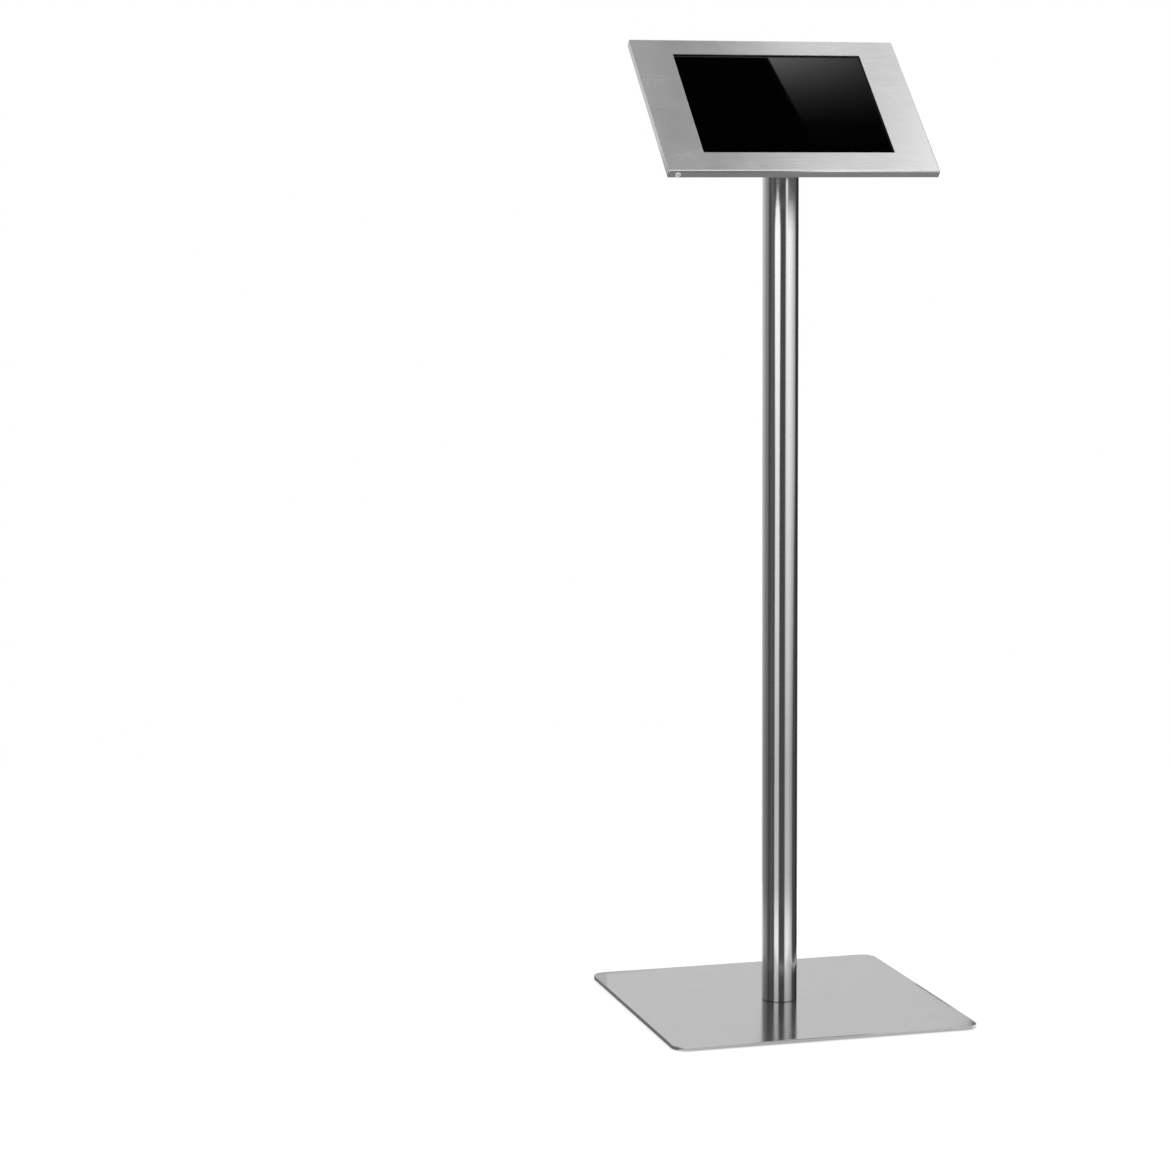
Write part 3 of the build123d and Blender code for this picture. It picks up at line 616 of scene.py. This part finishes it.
def ceiling_card():
    """Overhead card: greyer at the left, bright at the right and in front, with a dark slot that
    the screen mirrors and a graded patch in it for the screen's gloss."""
    finish, n = material("ceiling_card")
    axes = n.axes(n.place())
    x, y = axes["X"], axes["Y"]
    # From left to right along a slant, then a little brighter to the back, then the far back
    slant = n.math("MULTIPLY_ADD", y, 0.2, x)
    level = n.level(slant, 0.33, 0.51, CEILING_LEFT, CEILING_RIGHT, way="SMOOTHSTEP")
    level = n.times(level, n.level(y, -0.35, 0.45, 0.82, 1.08))
    level = n.mix("FLOAT", n.level(y, 0.9, 1.2), level, CEILING_BACK)
    # The front part lights the bend above the lower lip
    front = n.level(y, -0.45, -0.75)
    brighter = n.math("MULTIPLY_ADD", level, CEILING_FRONT_TIMES, CEILING_FRONT_PLUS)
    level = n.mix("FLOAT", front, level, brighter)
    # The slot, by its left and right and by its front and back
    slot_x = n.times(n.level(x, 0.205, 0.215), n.level(x, 0.680, 0.665))
    slot_y = n.times(n.level(y, 0.012, 0.020), n.level(y, 0.222, 0.212))
    slot = n.times(slot_x, slot_y)
    # The gloss starts at a slanting line and fades to the right
    rise = n.grey_ramp(n.level(y, 0.038, 0.200), GLOSS_RISE)
    past_line = n.minus(x, n.math("MULTIPLY_ADD", y, -0.56, 0.516))
    started = n.level(past_line, -0.001, 0.002)
    fade = n.level(past_line, 0.0, 0.20, 1.0, 0.25)
    gloss = n.times(n.times(started, fade), n.times(rise, GLOSS_LEVEL))
    n.finish(n.glow(n.mix("FLOAT", slot, level, gloss)))
    card("ceiling_card", rectangle((-3.0, 3.5), (-1.2, 3.5), CEILING), [FACING_DOWN], finish)


def softbox_card():
    """Tall softbox in front, brighter towards the right: the bend above the lower lip mirrors
    it, and so does the inner face of the open cover."""
    left, right = -1.2, 1.8
    low, high = 1.32, CEILING
    low_y, high_y = -1.4, -1.25
    finish, n = material("softbox_card")
    n.finish(n.glow(n.level(n.axes(n.place())["X"], 0.05, 0.60, 0.85, 1.0)))
    points = [
        (left, low_y, low), (right, low_y, low), (right, high_y, high), (left, high_y, high),
    ]
    card("softbox_card", points, [FACING_UP], finish)


def low_card(name, x, y, z, level):
    """Level card of one brightness, from its two ranges and its height."""
    finish, n = material(name)
    n.finish(n.glow(level))
    card(name, rectangle(x, y, z), [FACING_UP], finish)


def lamp(name, place, target, size, power):
    data = bpy.data.lights.new(name, "AREA")
    data.shape = "RECTANGLE"
    data.size = size
    data.size_y = size
    data.energy = power
    made = bpy.data.objects.new(name, data)
    made.location = place
    towards = Vector(target) - Vector(place)
    made.rotation_euler = towards.to_track_quat("-Z", "Y").to_euler()
    scene.collection.objects.link(made)
    made.visible_camera = False
    made.visible_glossy = False


# Where the ring cards start and end, in degrees to the right of the camera
POLE_CARD = (-136, 119)
DARK_CARD = (119, 156)
BACK_CARD = (157, 232)
POLE_CARD_RADIUS = 0.36
DARK_CARD_RADIUS = 0.75
BACK_CARD_RADIUS = 0.78
POLE_CARD_TOP = 1.155
BACK_CARD_TOP = 1.6
# Half the side of the square that each skirt leaves open for the base plate
POLE_SKIRT_HALF = 0.2125
DARK_SKIRT_HALF = 0.222
DARK_LEVEL = 0.04
BACK_LEVEL = 0.75
# Height of the cards that the front and left rim of the base plate mirror, and the side of
# the plate where they start
RIM_CARD_Z = 0.0006
RIM_CARD_SIDE = -0.2102

white_backdrop()
pale_floor()
upright_card("pole_card", *POLE_CARD, POLE_CARD_RADIUS, POLE_CARD_TOP, pole_bands)
skirt_card("skirt_card", *POLE_CARD, POLE_SKIRT_HALF, POLE_CARD_RADIUS, pole_bands)
upright_card("dark_edge_card", *DARK_CARD, DARK_CARD_RADIUS, BACK_CARD_TOP, even(DARK_LEVEL))
upright_card("back_card", *BACK_CARD, BACK_CARD_RADIUS, BACK_CARD_TOP, even(BACK_LEVEL))
skirt_card("dark_edge_skirt", *DARK_CARD, DARK_SKIRT_HALF, DARK_CARD_RADIUS, even(DARK_LEVEL))
softbox_card()
ceiling_card()
low_card("lip_card", (-0.21, 0.26), (-0.135, -0.06), 1.085, 0.28)
low_card("front_rim_card", (-0.21, 0.25), (-0.32, RIM_CARD_SIDE), RIM_CARD_Z, 0.70)
low_card("left_rim_card", (-0.32, RIM_CARD_SIDE), (-0.25, 0.32), RIM_CARD_Z, 0.22)
lamp("soft_top", (0.9, -1.4, 3.2), (0, 0, 0.6), size=2.4, power=60.0)
lamp("soft_front", (-2.2, -2.6, 2.0), (0, 0, 0.8), size=1.8, power=22.0)
